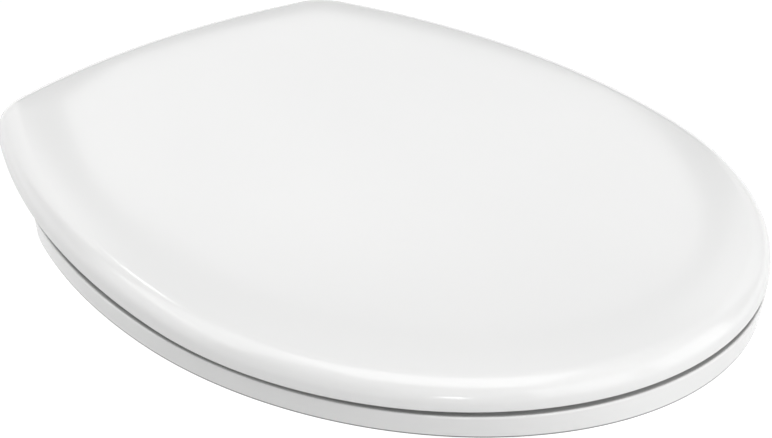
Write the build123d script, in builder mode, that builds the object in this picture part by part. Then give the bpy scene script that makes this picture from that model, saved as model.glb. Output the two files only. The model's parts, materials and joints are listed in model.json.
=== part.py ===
import os
from collections import namedtuple
from math import acos, atan2, cos, degrees, hypot, radians, sin, sqrt

from build123d import *

# Toilet seat with a closing lid, in millimetres. The origin lies midway between the two
# fixing bolts on the bowl's deck. The front of the seat is towards -Y and +Z is up.

Plan = namedtuple("Plan", "width widest_y front_reach flank_radius back_y back_radius corner_radius")

# Fixing to the bowl
bolt_spacing = 155.0
deck_thickness = 18.0

# Hinge line behind the bolts
hinge_offset = 30.0

# Lid
lid_length = 460.0
lid_width = 372.0
lid_overhang = 20.0
lid_front_share = 0.451
lid_flank_radius = 443.0
lid_back_radius = 508.0
lid_corner_radius = 33.0
lid_wall = 5.0
lid_side_height = 4.0
lid_edge_radius = 13.5
lid_crown_radius = 4500.0
lid_rim_round = 1.2
lid_gap = 4.0

# Seat ring
seat_lift = 5.0
seat_edge_height = 13.0
seat_side_inset = 3.2
seat_front_share = 0.5575
seat_flank_radius = 350.0
seat_back_radius = 900.0
seat_corner_radius = 62.0
seat_hinge_gap = 48.0
seat_wall = 5.0
seat_roof = 5.0
seat_crown = 4.5
seat_crown_run = 26.0
seat_crown_blend = 60.0
seat_edge_round = 1.6
seat_inner_round = 9.0
seat_rim_round = 1.2
seat_arm_root = 5.0

# Opening of the ring
side_rail = 68.5
front_rail = 58.0
back_bridge = 76.0
opening_flank_radius = 235.0
opening_bow_share = 0.658
opening_corner_share = 1.4

# Hinge pieces
barrel_radius = 9.0
barrel_headroom = 3.5
lug_width = 15.0
pin_radius = 4.0
pin_head_radius = 6.8
pin_head_height = 2.5
pin_clearance = 0.05
pin_chamfer = 0.8
bush_wall = 2.0
bush_flange_margin = 0.5
bush_flange = 1.0
side_clearance = 0.4
web_inset = 1.5
slot_clearance = 2.0

# Hinge base
gasket_thickness = 2.0
foot_radius = 16.0
foot_thickness = 4.0
foot_round = 1.5
boss_height = 22.0
boss_floor = 7.0
boss_wall = 1.9
arm_drop = 2.0
arm_step = 4.0
pocket_clearance = 0.6
neck_clearance = 0.1
cap_thickness = 2.0
cap_round = 1.2
cap_spigot = 4.0
cap_wall = 1.4
cap_clearance = 0.1
cap_margin = 0.5

# Bolt, washers and wing nut
shank_radius = 4.0
thread_radius = 3.7
thread_length = 42.0
head_flats = 13.0
head_height = 5.3
neck_width = 9.0
tip_chamfer = 1.2
washer_clearance = 0.3
cone_top_radius = 7.0
cone_base_radius = 15.0
cone_height = 9.0
cone_lip = 2.0
flat_washer_radius = 14.0
flat_washer_thickness = 2.0
nut_hub_radius = 8.0
nut_flange_radius = 12.0
nut_flange_height = 2.5
nut_height = 14.0
wing_span = 46.0
wing_height = 17.0
wing_thickness = 3.6
wing_corner = 5.0
wing_dip_radius = 10.0

# Buffers
buffer_length = 28.0
buffer_width = 13.0
buffer_edge = 1.5
buffer_peg_radius = 3.0
buffer_peg_height = 4.0
buffer_seat_margin = 2.0
buffer_front_angle = 46.0
buffer_back_spacing = 196.0
buffer_inset = 33.0
buffer_recess = 2.0
lid_buffer_height = 7.0
lid_buffer_clearance = 0.3

os.makedirs("parts", exist_ok=True)

# Places worked out from the sizes above
hinge_y = hinge_offset
back_y = hinge_y + lid_overhang
front_y = back_y - lid_length
seat_bottom = seat_lift
seat_edge_top = seat_bottom + seat_edge_height
seat_top = seat_edge_top + seat_crown
lid_bottom = seat_edge_top + lid_gap
lid_edge_top = lid_bottom + lid_side_height + lid_edge_radius
hinge_z = lid_edge_top - lid_wall - barrel_headroom - barrel_radius
seat_back_y = hinge_y - seat_hinge_gap
bush_radius = pin_radius + pin_clearance + bush_wall
bush_flange_radius = barrel_radius - bush_flange_margin
web_width = 2 * (barrel_radius - web_inset)
slot_height = barrel_radius + slot_clearance
bolt_x = bolt_spacing / 2
foot_top = gasket_thickness + foot_thickness
boss_top = foot_top + boss_height
head_seat = gasket_thickness + boss_floor
arm_root = boss_top - arm_step - hinge_z + arm_drop
pocket_radius = head_flats / sqrt(3) + pocket_clearance
base_width = 2 * (pocket_radius + boss_wall)
seat_face_x = bolt_x - base_width / 2 - side_clearance
lid_face_x = bolt_x + base_width / 2 + side_clearance
slot_width = base_width + 2 * side_clearance + 2 * bush_flange
sides = {"left": -1, "right": 1}

lid_front_reach = lid_front_share * lid_length
lid_plan = Plan(
    lid_width, front_y + lid_front_reach, lid_front_reach, lid_flank_radius,
    back_y, lid_back_radius, lid_corner_radius,
)
seat_width = lid_width - 2 * seat_side_inset
seat_front_reach = seat_front_share * (seat_back_y - front_y)
seat_plan = Plan(
    seat_width, front_y + seat_front_reach, seat_front_reach, seat_flank_radius,
    seat_back_y, seat_back_radius, seat_corner_radius,
)
# The opening's corners take their radius from the flank that is left in front of its bowed back
opening_width = seat_width - 2 * side_rail
opening_back_y = seat_back_y - back_bridge
opening_back_radius = opening_bow_share * opening_width
opening_sag = opening_back_radius - sqrt(opening_back_radius**2 - opening_width**2 / 4)
opening_flank = opening_back_y - opening_sag - seat_plan.widest_y
opening_plan = Plan(
    opening_width, seat_plan.widest_y, seat_front_reach - front_rail, opening_flank_radius,
    opening_back_y, opening_back_radius, opening_corner_share * opening_flank,
)
crown_y = (back_y + front_y) / 2
crown_reach = lid_length / 2
lid_top = lid_edge_top + lid_crown_radius - sqrt(lid_crown_radius**2 - crown_reach**2)


def plan_sketch(plan, inset=0.0):
    # Half ellipse at the front, an arc along each flank, a bowed back and round corners.
    half = plan.width / 2 - inset
    flank = plan.flank_radius - inset
    bow = plan.back_radius - inset
    flank_x = plan.width / 2 - plan.flank_radius
    bow_y = plan.back_y - plan.back_radius
    # The flank and the back are two circles, which meet at the corner before it is rounded.
    apart = hypot(flank_x, bow_y - plan.widest_y)
    along = (flank**2 - bow**2 + apart**2) / (2 * apart)
    toward = atan2(bow_y - plan.widest_y, -flank_x)
    flank_turn = toward + acos(along / flank)
    corner_x = flank_x + flank * cos(flank_turn)
    corner_y = plan.widest_y + flank * sin(flank_turn)
    back_turn = atan2(corner_y - bow_y, corner_x)
    sweep = degrees(flank_turn)
    with BuildSketch() as outline:
        with BuildLine():
            EllipticalCenterArc((0, plan.widest_y), half, plan.front_reach - inset, 180, arc_size=180)
            CenterArc((flank_x, plan.widest_y), flank, 0, sweep)
            CenterArc((0, bow_y), bow, degrees(back_turn), 180 - 2 * degrees(back_turn))
            CenterArc((-flank_x, plan.widest_y), flank, 180 - sweep, sweep)
        make_face()
        fillet(outline.vertices().sort_by(Axis.Y)[-2:], plan.corner_radius - inset)
    return outline.sketch


def lid_form(inset):
    # The lid as a solid dome, drawn in from its outside by the inset.
    outline = plan_sketch(lid_plan, inset)
    with BuildPart() as form:
        with BuildSketch(Plane.XY.offset(lid_bottom)):
            add(outline)
        extrude(amount=lid_top - lid_bottom)
        with Locations((0, crown_y, lid_top - lid_crown_radius)):
            Sphere(lid_crown_radius - inset, mode=Mode.INTERSECT)
        crown = form.faces().filter_by(GeomType.SPHERE)
        fillet(crown.edges(), lid_edge_radius - inset)
    return form.part


# Buffers stand on the ring's flat: two beside the front, two on the bridge at the back
front_turn = radians(buffer_front_angle)
front_x = (seat_plan.width / 2 - buffer_inset) * sin(front_turn)
front_drop = (seat_plan.front_reach - buffer_inset) * cos(front_turn)
buffer_places = {}
for side, sign in sides.items():
    front_place = (sign * front_x, seat_plan.widest_y - front_drop, sign * buffer_front_angle)
    buffer_places[f"front_{side}"] = front_place
    buffer_places[f"back_{side}"] = (sign * buffer_back_spacing / 2, seat_back_y - back_bridge / 2, 0)


def buffer_plane(place, height):
    x, y, turn = place
    return Plane(origin=(x, y, height), x_dir=(cos(radians(turn)), sin(radians(turn)), 0))


# Lid
lid_outside = lid_form(0)
lid_middle = lid_form(lid_wall / 2)
lid_inside = lid_form(lid_wall)
lid_pad_bottom = seat_top + lid_buffer_clearance + lid_buffer_height

with BuildPart() as lid_ribs:
    for sign in sides.values():
        with BuildSketch(Plane.YZ.offset(sign * lid_face_x + sign * bush_flange)):
            with Locations((hinge_y, hinge_z)):
                Rectangle(web_width, lid_top - hinge_z, align=(Align.CENTER, Align.MIN))
        extrude(amount=sign * lug_width)
    for place in buffer_places.values():
        with BuildSketch(buffer_plane(place, lid_pad_bottom)):
            SlotOverall(buffer_length + 2 * buffer_seat_margin, buffer_width + 2 * buffer_seat_margin)
        extrude(amount=lid_top - lid_pad_bottom)
    add(lid_middle, mode=Mode.INTERSECT)

with BuildPart() as lid:
    add(lid_outside)
    add(lid_inside, mode=Mode.SUBTRACT)
    rim = lid.faces().sort_by(Axis.Z)[0]
    fillet(rim.outer_wire().edges(), lid_rim_round)
    add(lid_ribs.part)
    for sign in sides.values():
        with BuildSketch(Plane.YZ.offset(sign * lid_face_x + sign * bush_flange)):
            with Locations((hinge_y, hinge_z)):
                Circle(barrel_radius)
        extrude(amount=sign * lug_width)
        with BuildSketch(Plane.YZ.offset(sign * lid_face_x + sign * bush_flange)):
            with Locations((hinge_y, hinge_z)):
                Circle(bush_radius)
        extrude(amount=sign * lug_width, mode=Mode.SUBTRACT)
    # Slots in the back rim let the hinge arms through as the lid swings over
    with BuildSketch(Plane.XZ.offset(-hinge_y)):
        with Locations((-bolt_x, hinge_z), (bolt_x, hinge_z)):
            RectangleRounded(slot_width, 2 * slot_height, slot_clearance)
    extrude(amount=-2 * lid_overhang, mode=Mode.SUBTRACT)
    # Peg holes of the buffers
    for place in buffer_places.values():
        with BuildSketch(buffer_plane(place, lid_pad_bottom)):
            Circle(buffer_peg_radius)
        extrude(amount=buffer_peg_height, mode=Mode.SUBTRACT)
lid.part.label = "lid"
export_step(lid.part, "parts/lid.step")

# Seat ring
seat_outline = plan_sketch(seat_plan)
opening_outline = plan_sketch(opening_plan)
channel_outline = plan_sketch(seat_plan, seat_wall)
channel_island = plan_sketch(opening_plan, -seat_wall)
channel_roof = seat_edge_top - seat_roof
seat_pad_bottom = seat_bottom + buffer_recess

with BuildPart() as seat_ring:
    with BuildSketch(Plane.XY.offset(seat_bottom)):
        add(seat_outline)
        add(opening_outline, mode=Mode.SUBTRACT)
    extrude(amount=seat_top - seat_bottom)
    # Round inner edge, and a crown that falls gently to the outer edge
    top = seat_ring.faces().sort_by(Axis.Z)[-1]
    fillet(top.inner_wires()[0].edges(), seat_inner_round)
    top = seat_ring.faces().sort_by(Axis.Z)[-1]
    chamfer(top.outer_wire().edges(), seat_crown_run, seat_crown, reference=top)
    top = seat_ring.faces().sort_by(Axis.Z)[-1]
    fillet(top.outer_wire().edges(), seat_crown_blend)
    outer_edges = seat_ring.edges().filter_by_position(Axis.Z, seat_edge_top - seat_crown, seat_edge_top)
    fillet(outer_edges.group_by(Axis.Z)[-1], seat_edge_round)
    bottom = seat_ring.faces().sort_by(Axis.Z)[0]
    fillet(bottom.edges(), seat_rim_round)
    # Hollow underside
    with BuildSketch(Plane.XY.offset(seat_bottom)):
        add(channel_outline)
        add(channel_island, mode=Mode.SUBTRACT)
    extrude(amount=channel_roof - seat_bottom, mode=Mode.SUBTRACT)
    # Arms back to the hinge line
    for sign in sides.values():
        with BuildSketch(Plane.YZ.offset(sign * (seat_face_x - bush_flange))):
            with Locations((hinge_y, hinge_z)):
                Circle(barrel_radius)
            with Locations((seat_back_y - seat_wall, seat_bottom + seat_rim_round)):
                Rectangle(seat_wall, seat_arm_root, align=(Align.MIN, Align.MIN))
            make_hull()
        extrude(amount=-sign * lug_width)
        with BuildSketch(Plane.YZ.offset(sign * (seat_face_x - bush_flange))):
            with Locations((hinge_y, hinge_z)):
                Circle(bush_radius)
        extrude(amount=-sign * lug_width, mode=Mode.SUBTRACT)
    # Seats for the buffers in the channel
    for place in buffer_places.values():
        with BuildSketch(buffer_plane(place, seat_pad_bottom)):
            SlotOverall(buffer_length + 2 * buffer_seat_margin, buffer_width + 2 * buffer_seat_margin)
        extrude(amount=channel_roof - seat_pad_bottom)
        with BuildSketch(buffer_plane(place, seat_pad_bottom)):
            Circle(buffer_peg_radius)
        extrude(amount=buffer_peg_height, mode=Mode.SUBTRACT)
seat_ring.part.label = "seat_ring"
export_step(seat_ring.part, "parts/seat_ring.step")

# Buffers, each an oval block with a peg on top
for owner, foot, height in (
    ("seat", 0.0, seat_pad_bottom),
    ("lid", seat_top + lid_buffer_clearance, lid_buffer_height),
):
    for spot, place in buffer_places.items():
        with BuildPart() as buffer:
            with BuildSketch(buffer_plane(place, foot)):
                SlotOverall(buffer_length, buffer_width)
            extrude(amount=height)
            fillet(buffer.faces().sort_by(Axis.Z)[0].edges(), buffer_edge)
            with BuildSketch(buffer_plane(place, foot + height)):
                Circle(buffer_peg_radius)
            extrude(amount=buffer_peg_height)
        buffer.part.label = f"{owner}_buffer_{spot}"
        export_step(buffer.part, f"parts/{owner}_buffer_{spot}.step")

# Hinge bases, with the gasket below, the cap above and the pin through each
for side, sign in sides.items():
    with BuildPart() as base:
        with BuildSketch(Plane.XY.offset(gasket_thickness)):
            with Locations((sign * bolt_x, 0)):
                Circle(foot_radius)
        extrude(amount=foot_thickness)
        fillet(base.edges().group_by(Axis.Z)[-1], foot_round)
        with BuildSketch(Plane.XY.offset(foot_top)):
            with Locations((sign * bolt_x, 0)):
                Circle(base_width / 2)
        extrude(amount=boss_height)
        with BuildSketch(Plane.YZ.offset(sign * bolt_x)):
            with Locations((hinge_y, hinge_z)):
                Circle(barrel_radius)
            with Locations((0, boss_top - arm_step)):
                Rectangle(base_width / 2, arm_root, align=(Align.MIN, Align.MAX))
            make_hull()
        extrude(amount=base_width / 2, both=True)
        with BuildSketch(Plane.XY.offset(boss_top)):
            with Locations((sign * bolt_x, 0)):
                Circle(pocket_radius)
        extrude(amount=head_seat - boss_top, mode=Mode.SUBTRACT)
        with BuildSketch(Plane.XY.offset(head_seat)):
            with Locations((sign * bolt_x, 0)):
                Rectangle(neck_width + 2 * neck_clearance, neck_width + 2 * neck_clearance)
        extrude(amount=gasket_thickness - head_seat, mode=Mode.SUBTRACT)
        with BuildSketch(Plane.YZ.offset(sign * bolt_x)):
            with Locations((hinge_y, hinge_z)):
                Circle(pin_radius + pin_clearance)
        extrude(amount=base_width / 2, both=True, mode=Mode.SUBTRACT)
    base.part.label = f"hinge_base_{side}"
    export_step(base.part, f"parts/hinge_base_{side}.step")

    with BuildPart() as gasket:
        with BuildSketch():
            with Locations((sign * bolt_x, 0)):
                Circle(foot_radius)
                Circle(neck_width / sqrt(2) + washer_clearance, mode=Mode.SUBTRACT)
        extrude(amount=gasket_thickness)
    gasket.part.label = f"base_gasket_{side}"
    export_step(gasket.part, f"parts/base_gasket_{side}.step")

    with BuildPart() as cap:
        with BuildSketch(Plane.XY.offset(boss_top)):
            with Locations((sign * bolt_x, 0)):
                Circle(base_width / 2 - cap_margin)
        extrude(amount=cap_thickness)
        fillet(cap.edges().group_by(Axis.Z)[-1], cap_round)
        with BuildSketch(Plane.XY.offset(boss_top)):
            with Locations((sign * bolt_x, 0)):
                Circle(pocket_radius - cap_clearance)
                Circle(pocket_radius - cap_clearance - cap_wall, mode=Mode.SUBTRACT)
        extrude(amount=-cap_spigot)
    cap.part.label = f"bolt_cap_{side}"
    export_step(cap.part, f"parts/bolt_cap_{side}.step")

    head_x = seat_face_x - bush_flange - lug_width - side_clearance
    tip_x = lid_face_x + bush_flange + lug_width - side_clearance
    with BuildPart() as pin:
        with BuildSketch(Plane.YZ.offset(sign * head_x)):
            with Locations((hinge_y, hinge_z)):
                Circle(pin_radius)
        extrude(amount=sign * (tip_x - head_x))
        with BuildSketch(Plane.YZ.offset(sign * head_x)):
            with Locations((hinge_y, hinge_z)):
                Circle(pin_head_radius)
        extrude(amount=-sign * pin_head_height)
        ends = pin.faces().filter_by(Axis.X).sort_by(Axis.X)
        chamfer(ends[0].edges() + ends[-1].edges(), pin_chamfer)
    pin.part.label = f"hinge_pin_{side}"
    export_step(pin.part, f"parts/hinge_pin_{side}.step")

    for owner, face_x, outward in (("seat", seat_face_x, -sign), ("lid", lid_face_x, sign)):
        with BuildPart() as bush:
            with BuildSketch(Plane.YZ.offset(sign * face_x)):
                with Locations((hinge_y, hinge_z)):
                    Circle(bush_flange_radius)
            extrude(amount=outward * bush_flange)
            with BuildSketch(Plane.YZ.offset(sign * face_x + outward * bush_flange)):
                with Locations((hinge_y, hinge_z)):
                    Circle(bush_radius)
            extrude(amount=outward * lug_width)
            with BuildSketch(Plane.YZ.offset(sign * face_x)):
                with Locations((hinge_y, hinge_z)):
                    Circle(pin_radius + pin_clearance)
            extrude(amount=outward * (bush_flange + lug_width), mode=Mode.SUBTRACT)
        bush.part.label = f"{owner}_bush_{side}"
        export_step(bush.part, f"parts/{owner}_bush_{side}.step")

# Fixings, a pair of each
bolt_spots = [(-bolt_x, 0), (bolt_x, 0)]
cone_top = -deck_thickness
washer_top = cone_top - cone_height - cone_lip
nut_top = washer_top - flat_washer_thickness

with BuildPart() as bolts:
    with BuildSketch(Plane.XY.offset(head_seat)):
        with Locations(*bolt_spots):
            RegularPolygon(head_flats / 2, 6, major_radius=False)
    extrude(amount=head_height)
    with BuildSketch():
        with Locations(*bolt_spots):
            Rectangle(neck_width, neck_width)
    extrude(amount=head_seat)
    with BuildSketch():
        with Locations(*bolt_spots):
            Circle(shank_radius)
    extrude(amount=-deck_thickness)
    with BuildSketch(Plane.XY.offset(-deck_thickness)):
        with Locations(*bolt_spots):
            Circle(thread_radius)
    extrude(amount=-thread_length)
    chamfer(bolts.edges().group_by(Axis.Z)[0], tip_chamfer)
bolts.part.label = "fixing_bolts"
export_step(bolts.part, "parts/fixing_bolts.step")

with BuildPart() as cones:
    for spot in bolt_spots:
        with BuildSketch(Plane(origin=(*spot, cone_top), x_dir=(1, 0, 0), z_dir=(0, -1, 0))):
            with BuildLine():
                Polyline(
                    (thread_radius + washer_clearance, 0),
                    (cone_top_radius, 0),
                    (cone_base_radius, -cone_height),
                    (cone_base_radius, -cone_height - cone_lip),
                    (thread_radius + washer_clearance, -cone_height - cone_lip),
                    close=True,
                )
            make_face()
        revolve(axis=Axis((*spot, 0), (0, 0, 1)))
cones.part.label = "cone_washers"
export_step(cones.part, "parts/cone_washers.step")

with BuildPart() as washers:
    with BuildSketch(Plane.XY.offset(washer_top)):
        with Locations(*bolt_spots):
            Circle(flat_washer_radius)
            Circle(thread_radius + washer_clearance, mode=Mode.SUBTRACT)
    extrude(amount=-flat_washer_thickness)
washers.part.label = "flat_washers"
export_step(washers.part, "parts/flat_washers.step")

with BuildPart() as nuts:
    with BuildSketch(Plane.XY.offset(nut_top)):
        with Locations(*bolt_spots):
            Circle(nut_flange_radius)
    extrude(amount=-nut_flange_height)
    with BuildSketch(Plane.XY.offset(nut_top)):
        with Locations(*bolt_spots):
            Circle(nut_hub_radius)
    extrude(amount=-nut_height)
    with BuildSketch(Plane.XZ):
        with Locations(*[(x, nut_top - wing_height / 2) for x, _ in bolt_spots]):
            RectangleRounded(wing_span, wing_height, wing_corner)
        with Locations(*[(x, nut_top - wing_height) for x, _ in bolt_spots]):
            Circle(wing_dip_radius, mode=Mode.SUBTRACT)
    extrude(amount=wing_thickness / 2, both=True)
    with BuildSketch(Plane.XY.offset(nut_top)):
        with Locations(*bolt_spots):
            Circle(thread_radius + pin_clearance)
    extrude(amount=-wing_height, mode=Mode.SUBTRACT)
nuts.part.label = "wing_nuts"
export_step(nuts.part, "parts/wing_nuts.step")
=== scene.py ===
import json
import math

import bmesh
import bpy
from mathutils import Matrix, Vector


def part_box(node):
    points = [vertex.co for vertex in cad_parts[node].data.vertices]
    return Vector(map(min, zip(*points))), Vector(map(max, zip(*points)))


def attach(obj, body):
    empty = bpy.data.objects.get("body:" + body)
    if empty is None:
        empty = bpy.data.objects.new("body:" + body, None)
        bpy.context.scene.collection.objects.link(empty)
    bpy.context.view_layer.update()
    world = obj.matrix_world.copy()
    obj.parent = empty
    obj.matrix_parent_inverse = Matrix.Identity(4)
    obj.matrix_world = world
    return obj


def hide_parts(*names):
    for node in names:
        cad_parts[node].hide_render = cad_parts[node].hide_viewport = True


# Toilet seat with a closed lid, in metres. The front is towards -Y.
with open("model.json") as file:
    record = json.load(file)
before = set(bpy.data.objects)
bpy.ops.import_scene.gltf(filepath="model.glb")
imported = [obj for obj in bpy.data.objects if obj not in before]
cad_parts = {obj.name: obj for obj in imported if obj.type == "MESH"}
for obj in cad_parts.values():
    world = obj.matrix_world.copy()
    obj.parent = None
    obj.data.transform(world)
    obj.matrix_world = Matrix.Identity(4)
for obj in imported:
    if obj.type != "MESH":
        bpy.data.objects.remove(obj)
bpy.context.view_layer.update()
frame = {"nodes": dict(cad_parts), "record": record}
nodes = frame["nodes"]
scene = bpy.context.scene
sides = {"left": -1, "right": 1}
print("frame loaded:", len(nodes), "nodes")


# Small helpers for node trees
def feed(tree, socket, value):
    if isinstance(value, bpy.types.NodeSocket):
        tree.links.new(value, socket)
    elif value is not None:
        socket.default_value = value


def addNode(tree, kind, inputs=None, **settings):
    made = tree.nodes.new(kind)
    for key, value in settings.items():
        setattr(made, key, value)
    for key, value in (inputs or {}).items():
        feed(tree, made.inputs[key], value)
    return made


def calc(tree, operation, *values):
    return addNode(tree, "ShaderNodeMath", dict(enumerate(values)), operation=operation).outputs[0]


def calcVector(tree, operation, first, second=None, scale=None):
    values = {0: first, 1: second} if scale is None else {0: first, "Scale": scale}
    made = addNode(tree, "ShaderNodeVectorMath", values, operation=operation)
    single = operation in ("LENGTH", "DISTANCE", "DOT_PRODUCT")
    return made.outputs["Value" if single else "Vector"]


def separate(tree, vector):
    return addNode(tree, "ShaderNodeSeparateXYZ", {0: vector}).outputs


def combineAxes(tree, **axes):
    return addNode(tree, "ShaderNodeCombineXYZ", axes).outputs[0]


def mapRange(tree, value, start, end, low=0.0, high=1.0, smooth=True):
    values = {"Value": value, "From Min": start, "From Max": end, "To Min": low, "To Max": high}
    kind = "SMOOTHSTEP" if smooth else "LINEAR"
    return addNode(tree, "ShaderNodeMapRange", values, interpolation_type=kind).outputs["Result"]


def addSocket(tree, name, kind, default=None, into="INPUT"):
    made = tree.interface.new_socket(name=name, in_out=into, socket_type="NodeSocket" + kind)
    if default is not None:
        made.default_value = default


# Small helpers for meshes
roundSteps = 6  # straight pieces in a small quarter round
endSteps = 16  # and in a pad's round end


def newObject(name, data):
    made = bpy.data.objects.new(name, data)
    scene.collection.objects.link(made)
    return made


def polyCurve(name, points, cyclic):
    data = bpy.data.curves.new(name, "CURVE")
    data.dimensions = "3D"
    spline = data.splines.new("POLY")
    spline.points.add(len(points) - 1)
    for place, point in zip(spline.points, points):
        place.co = (*point, 1)
    spline.use_cyclic_u = cyclic
    return newObject(name, data)


def pointsObject(name, points):
    data = bpy.data.meshes.new(name)
    data.from_pydata(points, [], [])
    return newObject(name, data)


def prism(outlines, axis, start, end):
    # closed solids, one for each outline, pushed along one axis
    def place(a, b, along):
        return {"X": (along, a, b), "Y": (a, along, b), "Z": (a, b, along)}[axis]

    mesh = bmesh.new()
    for outline in outlines:
        low = [mesh.verts.new(place(a, b, start)) for a, b in outline]
        high = [mesh.verts.new(place(a, b, end)) for a, b in outline]
        mesh.faces.new(low)
        mesh.faces.new(high)
        for i in range(len(outline)):
            mesh.faces.new((low[i - 1], low[i], high[i], high[i - 1]))
    bmesh.ops.recalc_face_normals(mesh, faces=mesh.faces)
    data = bpy.data.meshes.new("prism")
    mesh.to_mesh(data)
    mesh.free()
    return newObject("prism", data)


def joined(objects):
    mesh = bmesh.new()
    for piece in objects:
        mesh.from_mesh(piece.data)
        bpy.data.objects.remove(piece)
    data = bpy.data.meshes.new("joined")
    mesh.to_mesh(data)
    mesh.free()
    return newObject("joined", data)


def settle(piece):
    # the evaluated result becomes the piece's own plain mesh
    graph = bpy.context.evaluated_depsgraph_get()
    made = bpy.data.meshes.new_from_object(piece.evaluated_get(graph))
    piece.modifiers.clear()
    piece.data = made


def combine(piece, others, operation):
    other = joined(others)
    other.data.materials.append(piece.data.materials[0])
    cut = piece.modifiers.new("cut", "BOOLEAN")
    cut.operation = operation
    cut.solver = "EXACT"
    cut.object = other
    settle(piece)
    bpy.data.objects.remove(other)


def arc(centre, radius, start, end, count):
    turns = [math.radians(start + (end - start) * k / count) for k in range(count + 1)]
    return [(centre[0] + radius * math.cos(turn), centre[1] + radius * math.sin(turn)) for turn in turns]


def circle(centre, radius, count=64):
    turns = [2 * math.pi * k / count for k in range(count)]
    return [(centre[0] + radius * math.cos(turn), centre[1] + radius * math.sin(turn)) for turn in turns]


def roundedBox(low, high, radius):
    left, bottom = low[0] + radius, low[1] + radius
    right, top = high[0] - radius, high[1] - radius
    points = []
    for k, centre in enumerate(((right, top), (left, top), (left, bottom), (right, bottom))):
        points += arc(centre, radius, 90 * k, 90 * k + 90, roundSteps)
    return points


def stadium(place, length, width):
    x, y, turn = place
    reach = (length - width) / 2
    points = arc((reach, 0), width / 2, -90, 90, endSteps)
    points += arc((-reach, 0), width / 2, 90, 270, endSteps)
    across, along = math.cos(math.radians(turn)), math.sin(math.radians(turn))
    return [(x + across * a - along * b, y + along * a + across * b) for a, b in points]


def hullOutline(points):
    # convex outline of a set of points, anticlockwise
    def turnsRight(a, b, c):
        return (b[0] - a[0]) * (c[1] - a[1]) <= (b[1] - a[1]) * (c[0] - a[0])

    def half(row):
        kept = []
        for point in row:
            while len(kept) > 1 and turnsRight(kept[-2], kept[-1], point):
                kept.pop()
            kept.append(point)
        return kept[:-1]

    ordered = sorted(set(points))
    return half(ordered) + half(ordered[::-1])


# Plans of the lid, the ring and its opening: half ellipse, flank arcs, round corners, bowed back
lidLow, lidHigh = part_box("lid")
frontY = lidLow.y
lidPlan = {
    "width": 0.372, "front": frontY, "widest": frontY + 0.20746, "back": lidHigh.y,
    "flank": 0.443, "bow": 0.508, "corner": 0.033,
}
ringPlan = {
    "width": 0.3656, "front": frontY, "widest": frontY + 0.21854, "back": -0.018,
    "flank": 0.350, "bow": 0.900, "corner": 0.062,
}
openingPlan = {
    "width": 0.2286, "front": frontY + 0.058, "widest": ringPlan["widest"], "back": -0.094,
    "flank": 0.235, "bow": 0.150419, "corner": 0.062753,
}
outlineCount = 420
arcSteps = 200


def planOutline(plan):
    # the right half is drawn from the front to the back, spaced evenly, and mirrored
    half, widest, corner = plan["width"] / 2, plan["widest"], plan["corner"]
    flankCentre = Vector((half - plan["flank"], widest))
    bowCentre = Vector((0, plan["back"] - plan["bow"]))
    inFlank, inBow = plan["flank"] - corner, plan["bow"] - corner
    apart = bowCentre - flankCentre
    along = (inFlank**2 - inBow**2 + apart.length_squared) / (2 * apart.length)
    rise = math.sqrt(inFlank**2 - along**2)
    ahead = apart.normalized()
    cornerCentre = flankCentre + ahead * along + Vector((-ahead.y, ahead.x)) * rise
    toFlank = cornerCentre - flankCentre
    toBow = cornerCentre - bowCentre
    flankTurn = math.degrees(math.atan2(toFlank.y, toFlank.x))
    bowTurn = math.degrees(math.atan2(toBow.y, toBow.x))
    reach = widest - plan["front"]
    path = [(half * x, widest + reach * y) for x, y in arc((0, 0), 1, -90, 0, arcSteps * 2)]
    path += arc(flankCentre, plan["flank"], 0, flankTurn, arcSteps)[1:]
    path += arc(cornerCentre, corner, flankTurn, bowTurn, arcSteps)[1:]
    path += arc(bowCentre, plan["bow"], bowTurn, 90, arcSteps)[1:]
    run = [0]
    for a, b in zip(path, path[1:]):
        run.append(run[-1] + math.dist(a, b))
    right, k = [], 0
    for i in range(outlineCount // 2 + 1):
        target = run[-1] * i / (outlineCount // 2)
        while k < len(run) - 2 and run[k + 1] < target:
            k += 1
        share = (target - run[k]) / (run[k + 1] - run[k])
        right.append(tuple(p + (q - p) * share for p, q in zip(path[k], path[k + 1])))
    left = [(-x, y) for x, y in right[-2:0:-1]]
    return [(x, y, 0) for x, y in right + left]


# Start and end that the geometry trees share
def startTree(name, sockets):
    tree = bpy.data.node_groups.new(name, "GeometryNodeTree")
    for title, kind, default in sockets:
        addSocket(tree, title, kind, default)
    addSocket(tree, "Material", "Material")
    addSocket(tree, "Result", "Geometry", into="OUTPUT")
    return tree, addNode(tree, "NodeGroupInput").outputs


def geometryOf(tree, socket):
    return addNode(tree, "GeometryNodeObjectInfo", {"Object": socket}).outputs["Geometry"]


def endTree(tree, geometry, material):
    realize = addNode(tree, "GeometryNodeRealizeInstances", {"Geometry": geometry})
    paint = addNode(tree, "GeometryNodeSetMaterial", {"Geometry": realize.outputs[0], "Material": material})
    addNode(tree, "NodeGroupOutput", {0: paint.outputs[0]})
    return tree


def runTree(piece, tree, values):
    modifier = piece.modifiers.new(tree.name, "NODES")
    modifier.node_group = tree
    for item in tree.interface.items_tree:
        if item.in_out == "INPUT" and item.name in values:
            modifier[item.identifier] = values[item.name]
    settle(piece)
    # one slot only: the tree's primitives bring an empty one
    for face in piece.data.polygons:
        face.material_index = 0
    piece.data.materials.clear()
    piece.data.materials.append(values["Material"])


# Shell that follows an outline: a grid whose columns run round the outline and whose rows follow a profile.
# A profile point holds the share towards the inner line, the offset from the outline and the height.
shellMesh = {"merge": 0.000002, "sliver": 0.0000005, "sharpAngle": 35}


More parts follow.
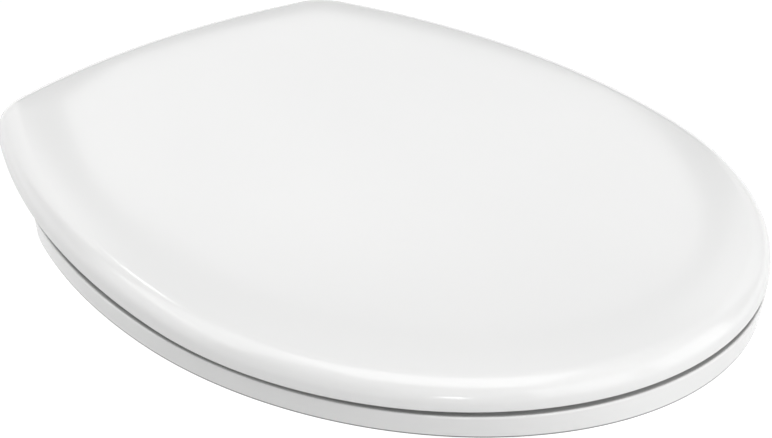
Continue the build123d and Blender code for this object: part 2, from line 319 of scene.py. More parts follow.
def sweptShellTree():
    tree, inputs = startTree("sweptShell", (
        ("Outline", "Object", None), ("Inner Line", "Object", None), ("Profile", "Object", None),
        ("Inner Offset", "Float", 0.0), ("Crown", "Float", 0.0), ("Crown Radius", "Float", 4.5),
        ("Crown Y", "Float", 0.0), ("Crown Reach", "Float", 0.23), ("Edge Radius", "Float", 0.0135),
        ("Rim Height", "Float", 0.0), ("Side Height", "Float", 0.004),
        ("Flare", "Float", 0.0), ("Flare Run", "Float", 0.03), ("Flare Width", "Float", 0.12),
    ))
    curves = [geometryOf(tree, inputs[name]) for name in ("Outline", "Inner Line", "Profile")]
    outline, innerLine, profile = curves

    def pointCount(curve):
        size = addNode(tree, "GeometryNodeAttributeDomainSize", {"Geometry": curve}, component="CURVE")
        return size.outputs["Point Count"]

    def sample(curve, field, at):
        values = {"Geometry": curve, "Value": field, "Index": at}
        return addNode(tree, "GeometryNodeSampleIndex", values, data_type="FLOAT_VECTOR").outputs["Value"]

    columns, rows = pointCount(outline), pointCount(profile)
    index = addNode(tree, "GeometryNodeInputIndex").outputs[0]
    position = addNode(tree, "GeometryNodeInputPosition").outputs[0]
    tangent = addNode(tree, "GeometryNodeInputTangent").outputs[0]
    column = calc(tree, "FLOOR", calc(tree, "DIVIDE", calc(tree, "ADD", index, 0.5), rows))
    row = calc(tree, "SUBTRACT", index, calc(tree, "MULTIPLY", column, rows))
    column = calc(tree, "FLOORED_MODULO", column, columns)

    def inward(curve):
        return calcVector(tree, "CROSS_PRODUCT", (0, 0, 1), sample(curve, tangent, column))

    def moved(start, direction, distance):
        return calcVector(tree, "ADD", start, calcVector(tree, "SCALE", direction, scale=distance))

    share, offset, height = separate(tree, sample(profile, position, row))
    onOutline, inOutline = sample(outline, position, column), inward(outline)
    outer = moved(onOutline, inOutline, offset)
    outward = calc(tree, "MULTIPLY", offset, calc(tree, "MULTIPLY", inputs["Inner Offset"], -1.0))
    inner = moved(sample(innerLine, position, column), inward(innerLine), outward)
    place = moved(outer, calcVector(tree, "SUBTRACT", inner, outer), share)
    aboveRim = calc(tree, "SUBTRACT", height, inputs["Rim Height"])
    sideShare = calc(tree, "MINIMUM", calc(tree, "DIVIDE", aboveRim, inputs["Side Height"]), 1.0)
    sideShare = calc(tree, "MAXIMUM", sideShare, 0.0)

    # the flare leans the sides out towards their top, and fades to nothing at the middle plane
    aside = calc(tree, "ABSOLUTE", separate(tree, onOutline)["X"])
    flare = mapRange(tree, aside, 0.0, inputs["Flare Width"], 0.0, inputs["Flare"])
    past = calc(tree, "MINIMUM", calc(tree, "DIVIDE", offset, inputs["Flare Run"]), 1.0)
    near = calc(tree, "MULTIPLY", calc(tree, "SUBTRACT", 1.0, past), calc(tree, "SUBTRACT", 1.0, share))
    lean = calc(tree, "MULTIPLY", flare, calc(tree, "MULTIPLY", near, sideShare))
    place = moved(place, inOutline, calc(tree, "MULTIPLY", lean, -1.0))

    # height of the crown's sphere over its own edge
    crownCentre = combineAxes(tree, Y=inputs["Crown Y"])
    square = calc(tree, "POWER", inputs["Crown Radius"], 2.0)

    def sphere(reach):
        return calc(tree, "SQRT", calc(tree, "SUBTRACT", square, calc(tree, "POWER", reach, 2.0)))

    def crownLift(spot):
        away = calcVector(tree, "DISTANCE", spot, crownCentre)
        return calc(tree, "SUBTRACT", sphere(away), sphere(inputs["Crown Reach"]))

    edgeLift = crownLift(moved(onOutline, inOutline, inputs["Edge Radius"]))
    rollShare = calc(tree, "MINIMUM", calc(tree, "DIVIDE", offset, inputs["Edge Radius"]), 1.0)
    rollShare = calc(tree, "POWER", rollShare, 2.0)
    beyond = calc(tree, "SUBTRACT", crownLift(place), edgeLift)
    lift = calc(tree, "MULTIPLY_ADD", beyond, rollShare, calc(tree, "MULTIPLY", edgeLift, sideShare))
    up = combineAxes(tree, Z=calc(tree, "MULTIPLY_ADD", lift, inputs["Crown"], height))

    grid = addNode(tree, "GeometryNodeMeshGrid", {
        "Vertices X": calc(tree, "ADD", columns, 1), "Vertices Y": rows,
    })
    placed = addNode(tree, "GeometryNodeSetPosition", {
        "Geometry": grid.outputs["Mesh"], "Position": calcVector(tree, "ADD", place, up),
    })
    merged = addNode(tree, "GeometryNodeMergeByDistance", {
        "Geometry": placed.outputs[0], "Distance": shellMesh["merge"],
    })
    smooth = addNode(tree, "GeometryNodeSetShadeSmooth", {"Geometry": merged.outputs[0]})
    return endTree(tree, smooth.outputs[0], inputs["Material"])


sweptShell = sweptShellTree()


def openEdges(piece):
    mesh = bmesh.new()
    mesh.from_mesh(piece.data)
    count = sum(1 for edge in mesh.edges if not edge.is_manifold)
    mesh.free()
    return count


def sweepShell(name, outline, innerPoints, profilePoints, values):
    curves = {
        "Outline": polyCurve(name + "Outline", outline, True),
        "Inner Line": polyCurve(name + "Inner", innerPoints, True),
        "Profile": polyCurve(name + "Profile", profilePoints, False),
    }
    piece = newObject(name, bpy.data.meshes.new(name))
    runTree(piece, sweptShell, dict(values, **curves))
    for curve in curves.values():
        bpy.data.objects.remove(curve)
    mesh = bmesh.new()
    mesh.from_mesh(piece.data)
    bmesh.ops.dissolve_degenerate(mesh, dist=shellMesh["sliver"], edges=mesh.edges)
    bmesh.ops.recalc_face_normals(mesh, faces=mesh.faces)
    mesh.to_mesh(piece.data)
    mesh.free()
    print(name, "swept, open edges:", openEdges(piece))
    return piece


def finishShading(piece):
    for face in piece.data.polygons:
        face.use_smooth = True
    piece.data.set_sharp_from_angle(angle=math.radians(shellMesh["sharpAngle"]))
    weighted = piece.modifiers.new("weighted", "WEIGHTED_NORMAL")
    weighted.keep_sharp = True
    settle(piece)
    print(piece.name, "done, open edges:", openEdges(piece), "faces:", len(piece.data.polygons))


# Shader groups shared by the finishes
def shaderGroup(name, sockets, results):
    group = bpy.data.node_groups.new(name, "ShaderNodeTree")
    for title, kind, default in sockets:
        addSocket(group, title, kind, default)
    for title, kind in results:
        addSocket(group, title, kind, into="OUTPUT")
    return group, addNode(group, "NodeGroupInput").outputs, addNode(group, "NodeGroupOutput").inputs


def noise(group, place, scale, detail):
    values = {"Vector": place, "Scale": scale, "Detail": detail}
    return addNode(group, "ShaderNodeTexNoise", values).outputs["Fac"]


skinResults = (("Color", "Color"), ("Roughness", "Float"), ("Height", "Float"))
glossRange = (0.3, 0.7)  # where most of a noise lies


def giveSkin(group, inputs, result, toneMask, glossMask, height):
    values = {"Factor": toneMask, 6: inputs["Tone"], 7: inputs["Shade"]}
    mix = addNode(group, "ShaderNodeMix", values, data_type="RGBA")
    gloss = mapRange(group, glossMask, *glossRange, inputs["Smoothest"], inputs["Roughest"], smooth=False)
    feed(group, result["Color"], mix.outputs[2])
    feed(group, result["Roughness"], gloss)
    feed(group, result["Height"], height)


skinNoise = {"cloudDetail": 3.0, "glossScale": 2.3, "glossDetail": 2.0, "waveDetail": 1.0, "lineDetail": 4.0}


def mouldedSkinGroup():
    # slow clouds in tone and gloss, and the fine waviness that a polished mould leaves
    group, inputs, result = shaderGroup("mouldedSkin", (
        ("Tone", "Color", (0.8, 0.8, 0.8, 1)), ("Shade", "Color", (0.75, 0.75, 0.75, 1)),
        ("Cloud Scale", "Float", 6.0), ("Wave Scale", "Float", 160.0),
        ("Smoothest", "Float", 0.15), ("Roughest", "Float", 0.25),
    ), skinResults)
    place = addNode(group, "ShaderNodeTexCoord").outputs["Object"]
    cloud = noise(group, place, inputs["Cloud Scale"], skinNoise["cloudDetail"])
    glossScale = calc(group, "MULTIPLY", inputs["Cloud Scale"], skinNoise["glossScale"])
    gloss = noise(group, place, glossScale, skinNoise["glossDetail"])
    wave = noise(group, place, inputs["Wave Scale"], skinNoise["waveDetail"])
    giveSkin(group, inputs, result, cloud, gloss, wave)
    return group


def drawnMetalGroup():
    # fine lines along one axis, as drawing or turning leaves them
    group, inputs, result = shaderGroup("drawnMetal", (
        ("Tone", "Color", (0.6, 0.6, 0.58, 1)), ("Shade", "Color", (0.45, 0.45, 0.44, 1)),
        ("Line Scale", "Vector", (40.0, 900.0, 900.0)),
        ("Smoothest", "Float", 0.22), ("Roughest", "Float", 0.42),
    ), skinResults)
    place = addNode(group, "ShaderNodeTexCoord").outputs["Object"]
    stretched = calcVector(group, "MULTIPLY", place, inputs["Line Scale"])
    lines = noise(group, stretched, 1.0, skinNoise["lineDetail"])
    giveSkin(group, inputs, result, lines, lines, lines)
    return group


def darken(group, inputs, result, dark):
    kept = calc(group, "SUBTRACT", 1.0, dark)
    feed(group, result["Color"], calcVector(group, "SCALE", inputs["Color"], scale=kept))


creviceShadeLimits = {"closed": 0.5, "open": 0.88, "upward": 0.3, "samples": 8}


def creviceShadeGroup():
    # painted shade: an upper face close under another moulding, where little light gets in, is darkened
    # further in its colour by an occlusion test
    group, inputs, result = shaderGroup("creviceShade", (
        ("Color", "Color", (1, 1, 1, 1)), ("Reach", "Float", 0.006), ("Depth", "Float", 0.3),
    ), (("Color", "Color"),))
    occlusion = addNode(
        group, "ShaderNodeAmbientOcclusion", {"Distance": inputs["Reach"]}, samples=creviceShadeLimits["samples"],
    )
    covered = mapRange(
        group, occlusion.outputs["AO"], creviceShadeLimits["closed"], creviceShadeLimits["open"], 1.0, 0.0,
    )
    facing = separate(group, addNode(group, "ShaderNodeTexCoord").outputs["Normal"])
    upper = mapRange(group, facing["Z"], 0.0, creviceShadeLimits["upward"], smooth=False)
    loss = calc(group, "SUBTRACT", 1.0, inputs["Depth"])
    darken(group, inputs, result, calc(group, "MULTIPLY", calc(group, "MULTIPLY", covered, upper), loss))
    return group


lineLimits = {"bottom": -0.92, "side": -0.75}  # how far down a face looks


def rimShadeGroup():
    # painted shade: a dark line low on the outer side, where the lower edge turns under and gets little light
    # from below, not on the bottom or in the opening
    group, inputs, result = shaderGroup("rimShade", (
        ("Color", "Color", (1, 1, 1, 1)), ("Height", "Float", 0.0), ("Width", "Float", 0.001),
        ("Depth", "Float", 0.6), ("Middle", "Vector", (0, 0, 0)),
    ), (("Color", "Color"),))
    coords = addNode(group, "ShaderNodeTexCoord").outputs
    end = calc(group, "ADD", inputs["Height"], inputs["Width"])
    loss = calc(group, "SUBTRACT", 1.0, inputs["Depth"])
    below = mapRange(group, separate(group, coords["Object"])["Z"], inputs["Height"], end, loss, 0.0)
    facing = separate(group, coords["Normal"])["Z"]
    side = mapRange(group, facing, lineLimits["bottom"], lineLimits["side"], smooth=False)
    away = calcVector(group, "SUBTRACT", coords["Object"], inputs["Middle"])
    away = calcVector(group, "MULTIPLY", away, (1, 1, 0))
    outer = calc(group, "GREATER_THAN", calcVector(group, "DOT_PRODUCT", away, coords["Normal"]), 0.0)
    darken(group, inputs, result, calc(group, "MULTIPLY", below, calc(group, "MULTIPLY", side, outer)))
    return group


mouldedSkin = mouldedSkinGroup()
drawnMetal = drawnMetalGroup()
creviceShade = creviceShadeGroup()
rimShade = rimShadeGroup()
bevelSamples = 6


def makeFinish(name, group, values, shader, bumpDistance, edge=0, layers=()):
    material = bpy.data.materials.new(name)
    material.use_nodes = True
    tree = material.node_tree
    skin = addNode(tree, "ShaderNodeGroup", values, node_tree=group)
    bump = addNode(tree, "ShaderNodeBump", {"Distance": bumpDistance, "Height": skin.outputs["Height"]})
    if edge:
        bevel = addNode(tree, "ShaderNodeBevel", {"Radius": edge}, samples=bevelSamples)
        feed(tree, bump.inputs["Normal"], bevel.outputs["Normal"])
    color = skin.outputs["Color"]
    for layer, layerValues in layers:
        made = addNode(tree, "ShaderNodeGroup", dict(layerValues, Color=color), node_tree=layer)
        color = made.outputs["Color"]
    principled = tree.nodes["Principled BSDF"].inputs
    for key, value in shader.items():
        principled[key].default_value = value
    feed(tree, principled["Base Color"], color)
    feed(tree, principled["Roughness"], skin.outputs["Roughness"])
    feed(tree, principled["Normal"], bump.outputs["Normal"])
    return material


resin = {
    "Tone": (0.88, 0.88, 0.875, 1), "Shade": (0.855, 0.857, 0.855, 1), "Cloud Scale": 5.0,
    "Wave Scale": 90.0, "Smoothest": 0.13, "Roughest": 0.19,
}
# painted shade in the gap under the lid's rim
gapShade = (creviceShade, {"Reach": 0.008, "Depth": 0.45})
ringMiddle = (0, ringPlan["widest"], 0)
# painted shade along the ring's lower outer edge
rimShadeLine = (rimShade, {"Height": 0.0058, "Width": 0.0008, "Depth": 0.2, "Middle": ringMiddle})
# the ring's resin with painted shade: darker under the lid's rim and low on the outer side
ringResinAndShade = makeFinish("ringResinShaded", mouldedSkin, resin, {"IOR": 1.5}, 0.00001, layers=(gapShade, rimShadeLine))
finishes = {
    "white_resin": makeFinish("lidResin", mouldedSkin, resin, {"IOR": 1.5}, 0.00001),
    "hinge_plastic": makeFinish(
        "hingePlastic", mouldedSkin,
        {"Tone": (0.84, 0.84, 0.83, 1), "Shade": (0.79, 0.79, 0.78, 1), "Cloud Scale": 30.0,
         "Wave Scale": 420.0, "Smoothest": 0.28, "Roughest": 0.42},
        {"IOR": 1.49}, 0.00002, edge=0.0007,
    ),
    "buffer_rubber": makeFinish(
        "bufferRubber", mouldedSkin,
        {"Tone": (0.74, 0.74, 0.71, 1), "Shade": (0.66, 0.66, 0.63, 1), "Cloud Scale": 60.0,
         "Wave Scale": 900.0, "Smoothest": 0.55, "Roughest": 0.75},
        {"IOR": 1.45}, 0.00004,
    ),
    "nylon": makeFinish(
        "satinNylon", mouldedSkin,
        {"Tone": (0.80, 0.80, 0.75, 1), "Shade": (0.72, 0.72, 0.67, 1), "Cloud Scale": 45.0,
         "Wave Scale": 700.0, "Smoothest": 0.36, "Roughest": 0.52},
        {"IOR": 1.53}, 0.00003, edge=0.0004,
    ),
    "gasket_rubber": makeFinish(
        "gasketRubber", mouldedSkin,
        {"Tone": (0.030, 0.030, 0.031, 1), "Shade": (0.050, 0.049, 0.048, 1), "Cloud Scale": 70.0,
         "Wave Scale": 1100.0, "Smoothest": 0.55, "Roughest": 0.8},
        {"IOR": 1.5}, 0.00005,
    ),
    "stainless_steel": makeFinish(
        "drawnSteel", drawnMetal,
        {"Tone": (0.62, 0.62, 0.60, 1), "Shade": (0.46, 0.46, 0.45, 1)},
        {"Metallic": 1.0}, 0.000008,
    ),
}
for part in frame["record"]["subparts"]:
    data = nodes[part["node"]].data
    data.materials.clear()
    data.materials.append(finishes[part["material_slot"]])
print("finishes made:", len(finishes))

# Hinge line and buffer places, from the frame
pinLow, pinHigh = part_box("hinge_pin_right")
hingeY, hingeZ = (pinLow.y + pinHigh.y) / 2, (pinLow.z + pinHigh.z) / 2
hinge = {"barrel": 0.009, "bore": 0.00605, "flange": 0.001}
buffers = {"length": 0.032, "width": 0.017, "peg": 0.003, "pegDepth": 0.004, "pegSteps": 32, "turn": 46}
cutPast = 0.001  # how far a cutter passes the face that it opens
barrelOutline = circle((hingeY, hingeZ), hinge["barrel"])
boreOutline = circle((hingeY, hingeZ), hinge["bore"])


def bufferPlaces(owner):
    found = []
    for end, turn in (("front", buffers["turn"]), ("back", 0)):
        for side, sign in sides.items():
            low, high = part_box(f"{owner}_buffer_{end}_{side}")
            found.append(((low.x + high.x) / 2, (low.y + high.y) / 2, sign * turn))
    return found


def bufferPads(owner, bottom, top):
    outlines = [stadium(place, buffers["length"], buffers["width"]) for place in bufferPlaces(owner)]
    return prism(outlines, "Z", bottom, top)


def pegHoles(owner, bottom):
    outlines = [circle(place[:2], buffers["peg"], buffers["pegSteps"]) for place in bufferPlaces(owner)]
    return prism(outlines, "Z", bottom - cutPast, bottom + buffers["pegDepth"])


def lugSpan(owner, sign):
    # the lug starts behind the flange of its bush, which faces the hinge base
    low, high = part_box(f"{owner}_bush_right")
    near, far = (low.x + hinge["flange"], high.x) if owner == "lid" else (high.x - hinge["flange"], low.x)
    return sign * near, sign * far


def throughLugs(owner, outline, past=0.0):
    # one outline along both lugs, and past their ends where it cuts them
    made = []
    for sign in sides.values():
        near, far = lugSpan(owner, sign)
        extra = math.copysign(past, far - near)
        made.append(prism([outline], "X", near - extra, far + extra))
    return made


# Lid: a dome with a rolled edge, hollow below
lidShape = {
    "rim": 0.022, "side": 0.004, "edge": 0.0135, "wall": 0.005, "rimRound": 0.0012,
    "crownRadius": 4.5, "spineFront": frontY + 0.19, "spineBack": -0.12,
    "shoulderTilt": 7, "shoulderRun": 0.038, "crownRows": 30, "rowEase": 1.7, "rollRows": 16,
    "slotClear": 0.002, "slotDepth": 0.04, "slotGap": 0.00004,  # the gap keeps the slot off the lug's face
    "webHalf": 0.0075, "webTop": 0.036, "webBackRise": 0.009, "webNeck": (0.003, 0.013), "webTopOut": 0.001,
    "padBottom": 0.0298, "padTop": 0.0395,
}

# The roll turns into the crown over a shoulder, which eases from its tilt to level
tilt = math.radians(lidShape["shoulderTilt"])
shoulderShare = lidShape["shoulderRun"] / (lidPlan["width"] / 2 - lidShape["edge"])
shoulderRise = math.tan(tilt) * lidShape["shoulderRun"] / 2
rollEnd = lidShape["edge"] * (1 - math.sin(tilt))
rollTop = lidShape["rim"] + lidShape["side"] + lidShape["edge"] * math.cos(tilt)


def lidProfile(shape):
    # from the middle over the roll to the rim, and back inside
    rim, side, edge, wall, rimRound = (shape[key] for key in ("rim", "side", "edge", "wall", "rimRound"))
    sideTop = rim + side
    rollStart = 90 + shape["shoulderTilt"]
    steps = [(1 - k / shape["crownRows"]) ** shape["rowEase"] for k in range(shape["crownRows"])]
    rises = [shoulderRise * (1 - max(1 - step / shoulderShare, 0) ** 2) for step in steps]
    rows = [(step, rollEnd, rollTop + rise) for step, rise in zip(steps, rises)]
    outside = arc((edge, sideTop), edge, rollStart, 180, shape["rollRows"])
    outside += [(0, sideTop - (side - rimRound) * k / 3) for k in (1, 2)]
    outside += arc((rimRound, rim + rimRound), rimRound, 180, 270, roundSteps)
    outside += [(rimRound + (wall - rimRound) * k / 2, rim) for k in (1, 2)]
    inside = [(wall, rim + side * 0.5)]
    inside += arc((edge, sideTop), edge - wall, 180, rollStart, shape["rollRows"] // 2)
    rows += [(0, offset, height) for offset, height in outside + inside]
    inTop = inside[-1][1]
    return rows + [(step, rollEnd, inTop + rise) for step, rise in zip(steps[::-1], rises[::-1])]


def sweepLid(shape):
    outline = planOutline(lidPlan)
    spine = [(0, min(max(y, shape["spineFront"]), shape["spineBack"]), 0) for x, y, z in outline]
    crownReach = (lidPlan["back"] - lidPlan["front"]) / 2
    crownRise = shape["crownRadius"] - math.sqrt(shape["crownRadius"] ** 2 - crownReach**2)
    return sweepShell("lidShell", outline, spine, lidProfile(shape), {
        "Crown": (lidHigh.z - rollTop - shoulderRise) / crownRise, "Crown Radius": shape["crownRadius"],
        "Crown Y": (lidPlan["front"] + lidPlan["back"]) / 2, "Crown Reach": crownReach,
        "Edge Radius": rollEnd, "Rim Height": shape["rim"], "Side Height": shape["side"],
        "Material": finishes["white_resin"],
    })


def lidWeb(shape):
    # the web joins the lug's barrel to the top, seen along the hinge line
    front, back = hingeY - shape["webHalf"], hingeY + shape["webHalf"]
    neckOut, neckRise = shape["webNeck"]
    return [
        (front, hingeZ), (back, hingeZ), (back, hingeZ + shape["webBackRise"]),
        (hingeY + neckOut, hingeZ + neckRise), (hingeY + shape["webTopOut"], shape["webTop"]),
        (front, shape["webTop"]),
    ]


def hingeSlots(shape):
    # the back rim is open between the seat's arms and the lid's lugs
    rise = hinge["barrel"] + shape["slotClear"]
    made = []
    for sign in sides.values():
        lugNear = lugSpan("lid", sign)[0]
        slotEnds = (lugSpan("seat", sign)[0], lugNear - math.copysign(shape["slotGap"], lugNear))
        low, high = (min(slotEnds), hingeZ - rise), (max(slotEnds), hingeZ + rise)
        outline = roundedBox(low, high, shape["slotClear"])
        made.append(prism([outline], "Y", hingeY, hingeY + shape["slotDepth"]))
    return made


lid = sweepLid(lidShape)
lidPads = bufferPads("lid", lidShape["padBottom"], lidShape["padTop"])
combine(lid, throughLugs("lid", lidWeb(lidShape)) + [lidPads], "UNION")
combine(lid, throughLugs("lid", barrelOutline), "UNION")
combine(lid, throughLugs("lid", boreOutline, cutPast), "DIFFERENCE")
combine(lid, hingeSlots(lidShape) + [pegHoles("lid", lidShape["padBottom"])], "DIFFERENCE")
finishShading(lid)
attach(lid, "lid")
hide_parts("lid")

# Seat ring: crowned top, round inner edge and a channel below
ringShape = {
    "bottom": 0.005, "edgeTop": 0.0192, "crown": 0.0033, "crownRun": 0.026, "blend": 0.060,
    "edgeRound": 0.0016, "innerRound": 0.009, "innerFlat": 0.002, "rimRound": 0.0012,
    "edgeRows": 8, "slopeRows": (0.35, 0.7), "blendRows": 8, "innerRows": 14,
    "wall": 0.005, "roof": 0.013, "flare": 0.0026, "armRoot": 0.005, "padBottom": 0.007, "padRoot": 0.001,
}
ringRimZ = ringShape["bottom"] + ringShape["rimRound"]


def ringProfile(shape):
    # up the outer side, over the crowned top, down into the opening, and through the channel below
    rimRound, edgeRound, inner = shape["rimRound"], shape["edgeRound"], shape["innerRound"]
    bottom, wall, roof = shape["bottom"], shape["wall"], shape["roof"]
    top = shape["edgeTop"] + shape["crown"]
    slope = math.atan2(shape["crown"], shape["crownRun"])
    slopeTurn = math.degrees(slope)
    sideTop = shape["edgeTop"] - edgeRound / math.tan((math.pi / 2 + slope) / 2)
    blendReach = shape["blend"] * math.tan(slope / 2)
    blendStart = shape["crownRun"] - blendReach * math.cos(slope)
    blendCentre = (shape["crownRun"] + blendReach, top - shape["blend"])
    outer = arc((rimRound, ringRimZ), rimRound, 270, 180, roundSteps)
    outer += [(0, ringRimZ + (sideTop - ringRimZ) * k / 4) for k in (1, 2, 3)]
    outer += arc((edgeRound, sideTop), edgeRound, 180, 90 + slopeTurn, shape["edgeRows"])
    onSlope = [blendStart * share for share in shape["slopeRows"]]
    outer += [(offset, shape["edgeTop"] + offset * math.tan(slope)) for offset in onSlope]
    outer += arc(blendCentre, shape["blend"], 90 + slopeTurn, 90, shape["blendRows"])
    opening = [(inner + shape["innerFlat"], top)]
    opening += arc((inner, top - inner), inner, 90, 180, shape["innerRows"])
    opening += [(0, ringRimZ + (top - inner - ringRimZ) * k / 3) for k in (2, 1)]
    opening += arc((rimRound, ringRimZ), rimRound, 180, 270, roundSteps)
    opening += [(wall, bottom), (wall, roof)]
    channel = [(wall, roof), (wall, bottom), outer[0]]
    groups = ((0, outer), (1, opening), (0, channel))
    return [(share, offset, height) for share, points in groups for offset, height in points]


def seatArm(shape):
    # the arm tapers from the ring's back wall to the barrel, seen along the hinge line
    back = ringPlan["back"]
    root = [(y, z) for y in (back - shape["wall"], back) for z in (ringRimZ, ringRimZ + shape["armRoot"])]
    return hullOutline(barrelOutline + root)


ring = sweepShell("ringShell", planOutline(ringPlan), planOutline(openingPlan), ringProfile(ringShape), {
    "Inner Offset": 1.0, "Crown": 0.0, "Rim Height": ringRimZ, "Side Height": ringShape["edgeTop"] - ringRimZ,
    "Flare": ringShape["flare"], "Flare Run": ringShape["crownRun"], "Material": ringResinAndShade,
})
ringPads = bufferPads("seat", ringShape["padBottom"], ringShape["roof"] + ringShape["padRoot"])
combine(ring, throughLugs("seat", seatArm(ringShape)) + [ringPads], "UNION")
ringPegs = pegHoles("seat", ringShape["padBottom"])
combine(ring, throughLugs("seat", boreOutline, cutPast) + [ringPegs], "DIFFERENCE")
finishShading(ring)
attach(ring, "seat")
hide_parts("seat_ring")


# Pieces that a tree sets at a list of places
def setAtPlaces(name, tree, points, values):
    places = pointsObject(name + "Places", points)
    piece = newObject(name, bpy.data.meshes.new(name))
    runTree(piece, tree, dict(values, Places=places))
    bpy.data.objects.remove(places)
    return piece


def instances(tree, points, instance):
    made = addNode(tree, "GeometryNodeInstanceOnPoints", {"Points": points, "Instance": instance})
    return made.outputs["Instances"]


# Bolt threads: a ridge that winds down each bolt below the deck
thread = {"core": 0.00366, "ridge": 0.00032, "pitch": 0.00125, "top": -0.0192, "length": 0.039, "steps": 28}


def helixTree():
    tree, inputs = startTree("helixRidge", (
        ("Places", "Object", None), ("Core Radius", "Float", 0.0036), ("Ridge", "Float", 0.0003),
        ("Pitch", "Float", 0.00125), ("Length", "Float", 0.04), ("Steps", "Int", 28), ("Corners", "Int", 4),
    ))
    spiral = addNode(tree, "GeometryNodeCurveSpiral", {
        "Resolution": inputs["Steps"], "Rotations": calc(tree, "DIVIDE", inputs["Length"], inputs["Pitch"]),
        "Start Radius": inputs["Core Radius"], "End Radius": inputs["Core Radius"],
        "Height": inputs["Length"],
    })
    upright = addNode(tree, "GeometryNodeSetCurveNormal", {"Curve": spiral.outputs["Curve"]}, mode="Z_UP")
    section = addNode(tree, "GeometryNodeCurvePrimitiveCircle", {
        "Resolution": inputs["Corners"], "Radius": inputs["Ridge"],
    })
    ridge = addNode(tree, "GeometryNodeCurveToMesh", {
        "Curve": upright.outputs["Curve"], "Profile Curve": section.outputs["Curve"], "Fill Caps": True,
    })
    wound = instances(tree, geometryOf(tree, inputs["Places"]), ridge.outputs["Mesh"])
    return endTree(tree, wound, inputs["Material"])


gasketLow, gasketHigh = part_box("base_gasket_right")
boltX = (gasketLow.x + gasketHigh.x) / 2
threadFoot = thread["top"] - thread["length"]
boltPoints = [(sign * boltX, 0, threadFoot) for sign in sides.values()]
threads = setAtPlaces("boltThreads", helixTree(), boltPoints, {
    "Core Radius": thread["core"], "Ridge": thread["ridge"], "Pitch": thread["pitch"],
    "Length": thread["length"], "Steps": thread["steps"], "Material": finishes["stainless_steel"],
})
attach(threads, "hinges")
print("threads wound, faces:", len(threads.data.polygons))

# Grips: a row of bars on both faces of each wing of the nuts
grip = {"count": 4, "pitch": 0.0024, "height": 0.0095, "radius": 0.0006, "out": 0.0165, "face": 0.0018}


def gripTree():
    tree, inputs = startTree("gripRow", (
        ("Places", "Object", None), ("Count", "Int", 4), ("Pitch", "Float", 0.0024),
        ("Height", "Float", 0.01), ("Radius", "Float", 0.0006), ("Sides", "Int", 14),
    ))
    span = calc(tree, "MULTIPLY", calc(tree, "SUBTRACT", inputs["Count"], 1), inputs["Pitch"])
    line = addNode(tree, "GeometryNodeMeshLine", {
        "Count": inputs["Count"], "Start Location": combineAxes(tree, X=calc(tree, "MULTIPLY", span, -0.5)),
        "Offset": combineAxes(tree, X=inputs["Pitch"]),
    }, mode="OFFSET")
    bar = addNode(tree, "GeometryNodeMeshCylinder", {
        "Vertices": inputs["Sides"], "Radius": inputs["Radius"], "Depth": inputs["Height"],
    })
    row = instances(tree, line.outputs["Mesh"], bar.outputs["Mesh"])
    return endTree(tree, instances(tree, geometryOf(tree, inputs["Places"]), row), inputs["Material"])


nutLow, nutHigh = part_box("wing_nuts")
nutMiddle = (nutLow.z + nutHigh.z) / 2
wingPoints = [
    (sign * boltX + along * grip["out"], face * grip["face"], nutMiddle)
    for sign in sides.values() for along in (-1, 1) for face in (-1, 1)
]
grips = setAtPlaces("wingGrips", gripTree(), wingPoints, {
    "Count": grip["count"], "Pitch": grip["pitch"], "Height": grip["height"], "Radius": grip["radius"],
    "Material": finishes["nylon"],
})
finishShading(grips)
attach(grips, "hinges")

# Camera at the photograph's angle, for a frame of 772 by 438 pixels
camera = {
    "azimuth": -39.13, "elevation": 28.72, "roll": 1.6, "distance": 5.68927, "lens": 474.9, "sensor": 36,
    "target": Vector((0, -0.170, 0.015)), "aside": 0.00180, "above": 0.00183, "farthest": 300,
}


def towards(azimuth, elevation):
    # unit vector from the target, where no azimuth is the front
    turn, rise = math.radians(azimuth), math.radians(elevation)
    return Vector((math.sin(turn) * math.cos(rise), -math.cos(turn) * math.cos(rise), math.sin(rise)))


def placeCamera():
    back = towards(camera["azimuth"], camera["elevation"])
    turn, roll = math.radians(camera["azimuth"]), math.radians(camera["roll"])
    right = Vector((math.cos(turn), math.sin(turn), 0))
    up = back.cross(right)
    across = math.cos(roll) * right + math.sin(roll) * up
    upright = math.cos(roll) * up - math.sin(roll) * right
    data = bpy.data.cameras.new("camera")
    data.lens = camera["lens"]
    data.sensor_width = camera["sensor"]
    data.clip_end = camera["farthest"]
    made = newObject("camera", data)
    made.matrix_world = Matrix((across, upright, back)).transposed().to_4x4()
    spot = camera["target"] + camera["aside"] * across + camera["above"] * upright
    made.location = spot + camera["distance"] * back
    scene.camera = made


# Floor, backdrop and soft boxes. A lamp's turn starts at the camera's side and goes round the object.
stage = {
    "floorZ": -0.40, "floorSize": 200, "floorColor": (0.6, 0.6, 0.6, 1), "floorRoughness": 0.9,
    "glow": 0.52, "farGlow": 0.97, "glowStart": 1.2, "glowEnd": 3.2,
    "backdrop": 1.0, "fill": 0.09, "bandStart": 0.02, "bandEnd": 0.07, "lampDistance": 3.0,
}
lamps = {
    "overhead": {"turn": 0, "rise": 78, "size": 2.6, "power": 48.2},
    "front": {"turn": 0, "rise": 16, "size": 2.0, "power": 7},
    "frontRight": {"turn": 45, "rise": 14, "size": 2.0, "power": 26},
    "frontRightHigh": {"turn": 48, "rise": 46, "size": 2.4, "power": 5},
    "right": {"turn": 90, "rise": 13, "size": 2.0, "power": 23.2},
    "behindRight": {"turn": 147, "rise": 22, "size": 1.9, "power": 9.2},
    "behind": {"turn": 180, "rise": 24, "size": 0.9, "power": 2.8},
    "behindLeft": {"turn": 215, "rise": 21, "size": 1.9, "power": 10.5},
    "left": {"turn": 270, "rise": 18, "size": 2.0, "power": 15},
    "leftHigh": {"turn": 270, "rise": 48, "size": 2.2, "power": 23},
    "glint": {"turn": 221, "rise": 45, "size": 0.3, "power": 2},
    "frontGlint": {"turn": 1, "rise": 8, "size": 0.4, "power": 4.8},
}


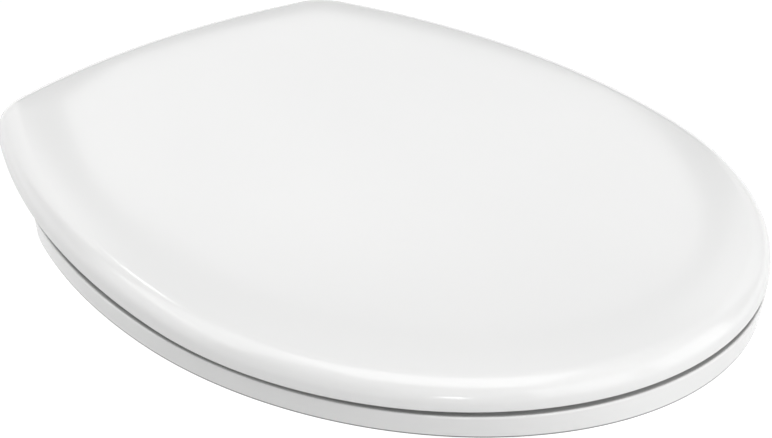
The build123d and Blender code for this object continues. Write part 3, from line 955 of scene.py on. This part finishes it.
def makeFloor():
    data = bpy.data.meshes.new("floor")
    half = stage["floorSize"] / 2
    corners = [(-half, -half), (half, -half), (half, half), (-half, half)]
    data.from_pydata([(x, y, stage["floorZ"]) for x, y in corners], [], [(0, 1, 2, 3)])
    material = bpy.data.materials.new("paleFloor")
    material.use_nodes = True
    tree = material.node_tree
    path = addNode(tree, "ShaderNodeLightPath").outputs
    seen = calc(tree, "MAXIMUM", path["Is Camera Ray"], path["Is Glossy Ray"])
    seen = calc(tree, "MAXIMUM", seen, path["Is Transmission Ray"])
    # far from the lamps the floor glows more, so that it stays white to its end
    away = calcVector(tree, "LENGTH", addNode(tree, "ShaderNodeNewGeometry").outputs["Position"])
    glow = mapRange(tree, away, stage["glowStart"], stage["glowEnd"], stage["glow"], stage["farGlow"])
    principled = tree.nodes["Principled BSDF"].inputs
    principled["Base Color"].default_value = stage["floorColor"]
    principled["Roughness"].default_value = stage["floorRoughness"]
    principled["Emission Color"].default_value = (1, 1, 1, 1)
    feed(tree, principled["Emission Strength"], calc(tree, "MULTIPLY", seen, glow))
    data.materials.append(material)
    newObject("floor", data)


def makeWorld():
    # a white backdrop along the horizon, where the floor ends, under a dimmer room
    world = bpy.data.worlds.new("studio")
    world.use_nodes = True
    scene.world = world
    tree = world.node_tree
    aim = separate(tree, addNode(tree, "ShaderNodeNewGeometry").outputs["Incoming"])
    level = calc(tree, "ABSOLUTE", aim["Z"])
    light = mapRange(tree, level, stage["bandStart"], stage["bandEnd"], stage["backdrop"], stage["fill"])
    background = tree.nodes["Background"].inputs
    background["Color"].default_value = (1, 1, 1, 1)
    feed(tree, background["Strength"], light)


def makeLamp(name, lamp):
    data = bpy.data.lights.new(name, "AREA")
    data.size = lamp["size"]
    data.energy = lamp["power"]
    back = towards(camera["azimuth"] + lamp["turn"], lamp["rise"])
    made = newObject(name, data)
    made.location = camera["target"] + stage["lampDistance"] * back
    made.rotation_mode = "QUATERNION"
    made.rotation_quaternion = back.to_track_quat("Z", "Y")


placeCamera()
makeFloor()
makeWorld()
for lampName, lamp in lamps.items():
    makeLamp(lampName, lamp)
scene.view_settings.view_transform = "Standard"
print("stage, camera and lamps set:", len(lamps), "lamps")
